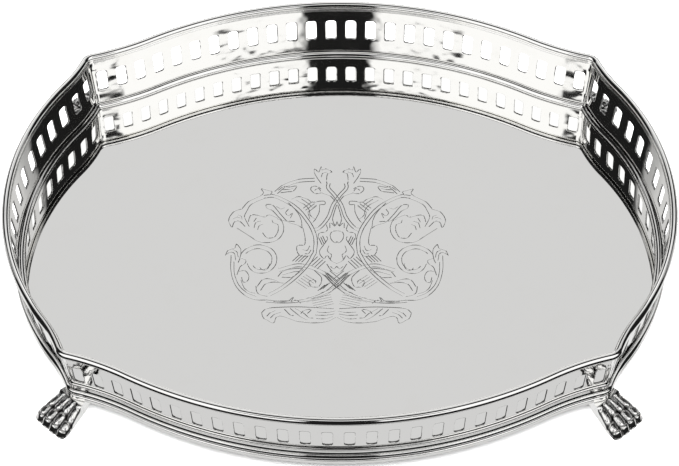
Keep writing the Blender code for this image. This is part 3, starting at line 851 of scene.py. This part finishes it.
def floor_sheet():
    mesh = bmesh.new()
    cut_and_shade_layer = mesh.verts.layers.float.new("cut")
    outline = floor_outline()
    top = [mesh.verts.new((point.x, point.y, FLOOR_Z)) for point in outline]
    foot = [mesh.verts.new((point.x, point.y, FLOOR_Z - FLOOR_THICKNESS)) for point in outline]
    mesh.faces.new(foot[::-1])
    for index in range(len(outline)):
        after = (index + 1) % len(outline)
        mesh.faces.new((foot[index], foot[after], top[after], top[index]))
    rim_edges = [mesh.edges.get((top[index], top[index - 1])) for index in range(len(top))]
    spots, depths, triangles = engraved_panel()
    panel = []
    for spot, depth in zip(spots, depths):
        vertex = mesh.verts.new((spot.x, spot.y, FLOOR_Z - depth * CUT_DEPTH))
        # The groove's depth goes into the cut attribute, which the material darkens as painted shade.
        vertex[cut_and_shade_layer] = depth
        panel.append(vertex)
    for triangle in triangles:
        mesh.faces.new([panel[index] for index in triangle])
    panel_edges = [edge for edge in mesh.edges if edge.is_boundary and edge not in rim_edges]
    bmesh.ops.triangle_fill(mesh, edges=rim_edges + panel_edges, use_beauty=True, normal=(0.0, 0.0, 1.0))
    loose = [vertex for vertex in mesh.verts if not vertex.link_faces]
    bmesh.ops.delete(mesh, geom=loose, context="VERTS")
    bmesh.ops.recalc_face_normals(mesh, faces=mesh.faces)
    data = bpy.data.meshes.new("engraved_floor")
    mesh.to_mesh(data)
    mesh.free()
    data.materials.append(mirror_silver)
    return put_in_scene(data, "engraved_floor")


fit(floor_sheet(), "tray_floor")

# ----------------------------------------------------------
# Floor bead: quarter-round wire soldered into the angle of floor and gallery, where it hides
# the joint. Four lengths, mitred like the rest.
# ----------------------------------------------------------

FLOOR_BEAD_RADIUS = 2.0 * MM


def floor_bead_profile():
    corner = (wall_offset(SOLDER_GAP) - SOLDER_GAP, SOLDER_GAP)
    swell = arc(corner, FLOOR_BEAD_RADIUS, 180, 90, 14)
    leaned = [(across + wall_offset(up - SOLDER_GAP), up) for across, up in swell]
    return [corner, *leaned]


lay_strips("bead", floor_bead_profile(), "floor_bead")

# ----------------------------------------------------------
# Rim wire: drawn round bead, grooved below so that it sits over the gallery's top edge, with a
# flat lip down the inside. It stiffens the gallery and gives the hand a smooth edge.
# ----------------------------------------------------------

RIM_LIP_HEIGHT = 1.0 * MM
RIM_LIP_WIDTH = 0.8 * MM


def rim_profile():
    height = RIM_TOP - RIM_RADIUS
    middle = (wall_offset(height) + GALLERY_THICKNESS / 2, height)
    start = -math.degrees(math.acos(GROOVE_HALF / RIM_RADIUS))
    end = 180 + math.degrees(math.asin(RIM_LIP_HEIGHT / RIM_RADIUS))
    points = [(wall_offset(GROOVE_MOUTH) + GALLERY_THICKNESS + SOLDER_GAP, GROOVE_MOUTH)]
    points += arc(middle, RIM_RADIUS, start, end, 52)[1:]
    lip_foot = GROOVE_MOUTH - RIM_LIP_HEIGHT
    back = wall_offset(lip_foot) - SOLDER_GAP
    lip = RIM_LIP_WIDTH / 2
    points += arc((back - lip, GROOVE_MOUTH - lip), lip, 90, 180, 5)
    points += arc((back - lip, lip_foot + lip), lip, 180, 270, 5)
    roof = GALLERY_TOP + SOLDER_GAP
    points += [
        (back, lip_foot),
        (wall_offset(roof) - SOLDER_GAP, roof),
        (wall_offset(roof) + GALLERY_THICKNESS + SOLDER_GAP, roof),
    ]
    return points


lay_strips("rim", rim_profile(), "rim_wire")

for helper in (*templates.values(), *guides.values()):
    bpy.data.objects.remove(helper)

# ----------------------------------------------------------
# Paw feet: solid cast brass lion paws, silver plated, with four toes of two joints each, claws
# and chased fur. A lug behind each paw is soldered under the floor at a corner.
# ----------------------------------------------------------

FOOT_HEIGHT = FLOOR_Z - MOULDING_DROP - SOLDER_GAP
FOOT_HEEL = -13.0 * MM  # along the paw from the tray's corner, as are ankle and toe
FOOT_ANKLE = 3.2 * MM
FOOT_TOE = 20.4 * MM
FOOT_HEEL_WIDTH = 9.0 * MM
FOOT_ANKLE_WIDTH = 14.0 * MM
FOOT_TOE_WIDTH = 19.4 * MM
FOOT_TIP_HEIGHT = 3.6 * MM
FOOT_LEAST_HEIGHT = 0.6 * MM
SIDE_SLOPE = 0.1 * MM  # how far the sides lean in between sole and crown
CROWN_DROP = 1.0 * MM  # how much lower the outer toes are than the middle ones
TOES = 4
TOE_GROOVE = 1.5 * MM
TOE_SWELL = 0.45 * MM
TOE_DROP = 2.6 * MM
TOE_ROUNDING = 1.1 * MM  # seen from above, how far a toe's sides lie behind its tip
OUTER_ROUNDING = 1.3 * MM  # and the outer toes behind the middle ones
TIP_LENGTH = 4.5 * MM
KNUCKLE = 0.44  # places as shares of the way from ankle to toe, as are the widths of creases
KNUCKLE_WIDTH = 0.045
KNUCKLE_CREASE = 1.1 * MM
CLAW = 0.80
CLAW_WIDTH = 0.028
CLAW_CREASE = 0.55  # of the knuckle's depth
HAIRS = 17  # on each toe
FUR_DEPTH = 0.26 * MM
PAW_ROWS = 110
SIDE_ROWS = 7
PAW_COLUMNS = 96
SPREAD = np.linspace(-1, 1, PAW_COLUMNS + 1)
ACROSS_TOE = np.abs(((SPREAD + 1) / 2 * TOES) % 1.0 * 2 - 1)


def smooth_step(low, high, value):
    share = np.clip((value - low) / (high - low), 0.0, 1.0)
    return share * share * (3 - 2 * share)


def paw_crown(run):
    """Heights across the paw's upper surface, and how dark its recesses are painted: oxide in the hollows and
    painted shade.
    """
    forward = np.clip((run - FOOT_ANKLE) / (FOOT_TOE - FOOT_ANKLE), 0.0, 1.0)
    grown = smooth_step(0.0, 0.14, forward)
    fall = 0.35 * forward + 0.65 * smooth_step(0.1, 1.0, forward)
    slope = FOOT_HEIGHT - (FOOT_HEIGHT - FOOT_TIP_HEIGHT) * fall
    lane = (SPREAD + 1) / 2 * TOES
    toe_number = np.clip(np.floor(lane), 0, TOES - 1)
    across_toe = np.abs((lane - toe_number) * 2 - 1)
    between_toes = 1 - np.sqrt(np.clip(1 - across_toe**2.6, 0.0, 1.0))
    knuckle = KNUCKLE + 0.10 * SPREAD**2 + 0.03 * np.sin(toe_number * 2.4)
    crease = np.exp(-(((forward - knuckle) / KNUCKLE_WIDTH) ** 2))
    crease += CLAW_CREASE * np.exp(-(((forward - CLAW + 0.04 * across_toe) / CLAW_WIDTH) ** 2))
    swell = TOE_SWELL * np.sin(np.clip((forward - knuckle) / (0.98 - knuckle), 0, 1) * math.pi)
    hair_phase = lane * HAIRS + forward * 6 + 0.9 * np.sin(forward * 27 + toe_number * 2.1)
    hair = np.abs(np.sin(hair_phase * math.pi / 2)) - 1
    strength = 0.35 + 0.65 * smooth_step(0.2, 0.9, across_toe)
    recess = TOE_GROOVE * between_toes + KNUCKLE_CREASE * crease * (0.5 + 0.5 * across_toe)
    recess = (recess - FUR_DEPTH * hair * strength * (1 - smooth_step(0.84, 0.92, forward))) * grown
    tip = TOE_DROP * smooth_step(0.84, 1.0, forward) ** 1.6
    dome = CROWN_DROP * SPREAD**2 * grown
    height = slope + swell * grown - recess - tip - dome
    # Darker the deeper the recess: oxide in the hollows and painted shade, painted into the colour.
    dark = smooth_step(0.18, 0.8, recess / TOE_GROOVE)
    return np.clip(height, FOOT_LEAST_HEIGHT, FOOT_HEIGHT), dark


def paw_half_width(run):
    """Half the paw's width: narrow lug, ankle, then flaring towards the toes."""
    if run < FOOT_ANKLE:
        grown = float(smooth_step(-6.0 * MM, FOOT_ANKLE, run))
        return (FOOT_HEEL_WIDTH + (FOOT_ANKLE_WIDTH - FOOT_HEEL_WIDTH) * grown) / 2
    flare = float(smooth_step(-0.15, 0.78, (run - FOOT_ANKLE) / (FOOT_TOE - FOOT_ANKLE)))
    return (FOOT_ANKLE_WIDTH + (FOOT_TOE_WIDTH - FOOT_ANKLE_WIDTH) * flare) / 2


def paw_section(run, crown, dark):
    """Points round an upright section: up one side, over the crown, down and back under the
    sole. Each is its place along and across the paw, its height and its painted darkness of oxide and shade."""
    half = paw_half_width(run)
    tip = float(smooth_step(FOOT_TOE - TIP_LENGTH, FOOT_TOE, run))
    toe_dips = TOE_ROUNDING * (1 - np.sqrt(np.clip(1 - ACROSS_TOE**3, 0, 1)))
    along = run - tip * (toe_dips + OUTER_ROUNDING * np.abs(SPREAD) ** 5)
    slope = SIDE_SLOPE * float(smooth_step(FOOT_ANKLE - 2 * MM, FOOT_ANKLE + 4 * MM, run))
    shares = np.linspace(0, 1, SIDE_ROWS + 1)[:-1]
    leans = half - slope * shares**2
    left, right = (
        [(along[end], SPREAD[end] * lean, share * crown[end], 0.0) for share, lean in zip(shares, leans)]
        for end in (0, -1)
    )
    over = zip(along, SPREAD * (half - slope), crown, dark)
    under = [(along[at], SPREAD[at] * half, 0.0, 0.0) for at in range(PAW_COLUMNS - 1, 0, -1)]
    return [*left, *over, *right[::-1], *under]


def paw_mesh(name, mirror_x, mirror_y):
    """Loft of flat-soled sections from the back of the lug to the rounded toes."""
    corner = side_lobe.corner_at(0.0)
    outwards = arm(side_lobe.mitre_angle, 1.0)
    half_angle = math.pi / 2 - (side_lobe.mitre_angle - side_lobe.round_start)
    lug_end = -(LEDGE_REACH + SOLDER_GAP) / math.sin(half_angle)
    lug_end -= FOOT_HEEL_WIDTH / 2 / math.tan(half_angle)
    lug_top = np.full_like(SPREAD, FLOOR_Z - FLOOR_THICKNESS - SOLDER_GAP)
    shares = [math.sin(math.pi / 2 * row / PAW_ROWS) for row in range(PAW_ROWS + 1)]
    sections = [paw_section(run, lug_top, 0 * SPREAD) for run in (FOOT_HEEL, lug_end - 0.05 * MM)]
    for run in (lug_end + (FOOT_TOE - lug_end) * share for share in shares):
        sections.append(paw_section(run, *paw_crown(run)))
    mesh = bmesh.new()
    cut_and_shade_layer = mesh.verts.layers.float.new("cut")
    rings = []
    for section in sections:
        ring = []
        for along, across, height, dark in section:
            plan = corner + outwards * float(along) + Vector((-outwards.y, outwards.x)) * float(across)
            ring.append(mesh.verts.new((plan.x * mirror_x, plan.y * mirror_y, float(height))))
            ring[-1][cut_and_shade_layer] = float(dark)
        rings.append(ring)
    for first, second in zip(rings, rings[1:]):
        for index in range(len(first)):
            mesh.faces.new((first[index - 1], first[index], second[index], second[index - 1]))
    for ring in (rings[0], rings[-1]):
        top = ring[SIDE_ROWS : SIDE_ROWS + PAW_COLUMNS + 1]
        foot = SIDE_ROWS * 2 + PAW_COLUMNS
        sole = [ring[0], *ring[foot + 1 :][::-1], ring[foot]]
        for index in range(1, PAW_COLUMNS - 1):
            mesh.faces.new((top[index], top[index + 1], sole[index + 1], sole[index]))
        mesh.faces.new((*ring[: SIDE_ROWS + 2], sole[1]))
        mesh.faces.new((*ring[SIDE_ROWS + PAW_COLUMNS - 1 : foot + 1], sole[-2]))
    bmesh.ops.recalc_face_normals(mesh, faces=mesh.faces)
    if mesh.calc_volume(signed=True) < 0:
        bmesh.ops.reverse_faces(mesh, faces=mesh.faces)
    data = bpy.data.meshes.new(name)
    mesh.to_mesh(data)
    mesh.free()
    data.shade_smooth()
    data.set_sharp_from_angle(angle=math.radians(50))
    return data


# Its last argument darkens the paws' recesses deeply: oxide in the hollows and painted shade.
cast_silver = silver("cast_silver", (0.93, 0.925, 0.91), (0.84, 0.83, 0.80), 0.4, 0.22, 0.12, 0.06)
for end, mirror_y in (("back", 1), ("front", -1)):
    for side, mirror_x in (("right", 1), ("left", -1)):
        paw_data = paw_mesh(f"paw_{end}_{side}", mirror_x, mirror_y)
        paw_data.materials.append(cast_silver)
        paw = put_in_scene(paw_data, f"paw_{end}_{side}")
        fit(paw, f"paw_foot_{end}_{side}")

# ----------------------------------------------------------
# Stage: white paper under a soft light, in a room painted light and dark for the silver to
# reflect, with a glowing ribbon of card past the gallery that only reflections see: a painted glow
# that lights nothing else. A long lens looks down at the tray.
# ----------------------------------------------------------


def paper(name, shade, roughness, glow):
    """White or glowing paper for the stage."""
    material = bpy.data.materials.new(name)
    material.use_nodes = True
    sockets = material.node_tree.nodes["Principled BSDF"].inputs
    sockets["Base Color"].default_value = (shade, shade, shade, 1.0)
    sockets["Roughness"].default_value = roughness
    sockets["Emission Color"].default_value = (1.0, 1.0, 1.0, 1.0)
    sockets["Emission Strength"].default_value = glow
    return material


def hide_from(obj, *rays):
    for ray in rays:
        setattr(obj, f"visible_{ray}", False)


FLOOR_HALF = 4.0
floor_corners = [(x * FLOOR_HALF, y * FLOOR_HALF, 0.0) for x, y in ((-1, -1), (1, -1), (1, 1), (-1, 1))]
stage_data = bpy.data.meshes.new("studio_floor")
stage_data.from_pydata(floor_corners, [], [(0, 1, 2, 3)])
stage_data.materials.append(paper("white_paper", shade=0.9, roughness=0.9, glow=0.0))
studio_floor = put_in_scene(stage_data, "studio_floor")
hide_from(studio_floor, "glossy")

top_light_data = bpy.data.lights.new("top_light", "AREA")
top_light_data.shape = "DISK"
top_light_data.size = 3.0
top_light_data.energy = 240.0
top_light = put_in_scene(top_light_data, "top_light")
top_light.location = (0.0, 0.0, 2.0)
hide_from(top_light, "glossy", "camera")

# The room's patches, each painted over those before it: its brightness, and the bands of
# direction that it fills, as from, to and softness in degrees. Azimuth runs both ways round from
# the back to the front, elevation up from the horizon, and arch from the back over the tray.
DARK = 0.012
FRONT = 200.0  # past the end of every direction
DOWN = -200.0
BACK_LIGHT = (0.90, 0.675)  # brightness of the light behind, low down and high up
BACK_FADE = (30.0, 50.0)  # degrees of elevation between the two
PATCHES = {
    "grey sides": (0.42, {"azimuth": (47.0, FRONT, 9.0)}),
    "dark sides": (DARK, {"azimuth": (72.0, FRONT, 4.0)}),
    "bright front": (1.08, {"azimuth": (108.0, FRONT, 4.0)}),
    "gap overhead": (DARK, {"arch": (66.0, 98.0, 1.5)}),
    "low back": (0.84, {"azimuth": (DOWN, 90.0, 2.0), "elevation": (-90.0, 4.0, 3.0)}),
    "skirting behind": (DARK, {"azimuth": (DOWN, 30.0, 2.0), "elevation": (DOWN, 8.0, 3.0)}),
    "gaps behind": (DARK, {"azimuth": (14.0, 64.0, 2.0), "elevation": (18.0, 47.0, 2.0)}),
    "low front": (DARK, {"azimuth": (97.0, FRONT, 7.0), "elevation": (-52.0, 14.0, 2.0)}),
    "under the table": (DARK, {"azimuth": (97.0, FRONT, 7.0), "elevation": (DOWN, -74.0, 2.0)}),
    "table": (0.66, {"azimuth": (97.0, FRONT, 7.0), "elevation": (-74.0, -53.5, 2.0)}),
    "camera stand": (DARK, {"azimuth": (171.5, FRONT, 1.5), "elevation": (8.0, 67.0, 1.5)}),
    "camera": (DARK, {"azimuth": (151.5, FRONT, 1.0), "elevation": (44.05, 57.0, 0.2)}),
    "lens hood": (DARK, {"azimuth": (151.5, FRONT, 1.0), "elevation": (60.5, 67.0, 0.3)}),
}
world = bpy.data.worlds.new("studio")
bpy.context.scene.world = world
world.use_nodes = True
room = world.node_tree


def ramp(value, start, end, low, high):
    """A smooth change from low to high while the value goes from start to end."""
    limits = {"Value": value, "From Min": start, "From Max": end, "To Min": low, "To Max": high}
    return add(room, "ShaderNodeMapRange", limits, interpolation_type="SMOOTHSTEP").outputs[0]


def between(value, low, high, soft):
    """1 where the value lies between two limits, fading over soft on both sides."""
    entered = ramp(value, low - soft, low + soft, 0.0, 1.0)
    return maths(room, "MULTIPLY", entered, ramp(value, high - soft, high + soft, 1.0, 0.0))


def in_degrees(operation, *values):
    return maths(room, "DEGREES", maths(room, operation, *values))


gaze = add(room, "ShaderNodeTexCoord").outputs["Generated"]
across, away, upwards = add(room, "ShaderNodeSeparateXYZ", {0: gaze}).outputs
directions = {
    "elevation": in_degrees("ARCSINE", upwards),
    "azimuth": in_degrees("ARCTAN2", maths(room, "ABSOLUTE", across), away),
    "arch": in_degrees("ARCTAN2", upwards, away),
}
sky = ramp(directions["elevation"], *BACK_FADE, *BACK_LIGHT)
for patch, (brightness, bands) in PATCHES.items():
    inside = 1.0
    for direction, band in bands.items():
        inside = maths(room, "MULTIPLY", inside, between(directions[direction], *band))
    painted = {"Factor": inside, 2: sky, 3: brightness}
    sky = add(room, "ShaderNodeMix", painted, data_type="FLOAT", label=patch).outputs[0]
room.links.new(sky, room.nodes["Background"].inputs["Color"])

camera_data = bpy.data.cameras.new("long_lens")
camera_data.lens = 117.2
camera_data.sensor_width = 36.0
camera_data.clip_start = 0.01
camera = put_in_scene(camera_data, "long_lens")
ELEVATION = math.radians(56.0)
YAW = 0.0115
ROLL = -0.008
DISTANCE = 1.1074
target = Vector((-0.24 * MM, 5.5 * MM, FLOOR_Z))
level = math.cos(ELEVATION)
back = Vector((math.sin(YAW) * level, -math.cos(YAW) * level, math.sin(ELEVATION)))
level_right = Vector((math.cos(YAW), math.sin(YAW), 0.0))
right = math.cos(ROLL) * level_right + math.sin(ROLL) * back.cross(level_right)
camera.matrix_world = Matrix((right, back.cross(right), back)).transposed().to_4x4()
camera.location = target + back * DISTANCE
bpy.context.scene.camera = camera
bpy.context.scene.view_settings.view_transform = "Standard"

# The card glows and lies just past the gallery on lines from the lens's mirror image, so the mirror floor
# shows it through the slots: a painted glow.
CARD_BAND = (10.5 * MM, 27.0 * MM)  # heights on the gallery that the card stands behind
CARD_FARTHER = 1.04  # distance of the card from the lens's mirror image, against the gallery's
CARD_FRONT = -50.0 * MM  # the card ends here on both sides
mirror_lens = Vector((camera.location.x, camera.location.y, 2 * FLOOR_Z - camera.location.z))
card_points = []
for side in ("right", "back", "left"):
    lobe, turn = LOBES[side]
    for distance in station_spots(lobe)[::4]:
        for height in CARD_BAND:
            spot = Vector((*turned(lobe.point(distance, wall_offset(height)), turn), FLOOR_Z + height))
            card_points.append(mirror_lens + (spot - mirror_lens) * CARD_FARTHER)
card_points = [spot for spot in card_points if spot.y > CARD_FRONT]
card_faces = [(at, at + 2, at + 3, at + 1) for at in range(0, len(card_points) - 2, 2)]
card_data = bpy.data.meshes.new("white_card")
card_data.from_pydata(card_points, [], card_faces)
# Its paper glows but lights nothing: a painted glow, seen only in reflections.
card_data.materials.append(paper("glowing_reflection_paper", shade=0.0, roughness=0.5, glow=1.05))
white_card = put_in_scene(card_data, "white_card")
hide_from(white_card, "camera", "diffuse", "shadow", "transmission")
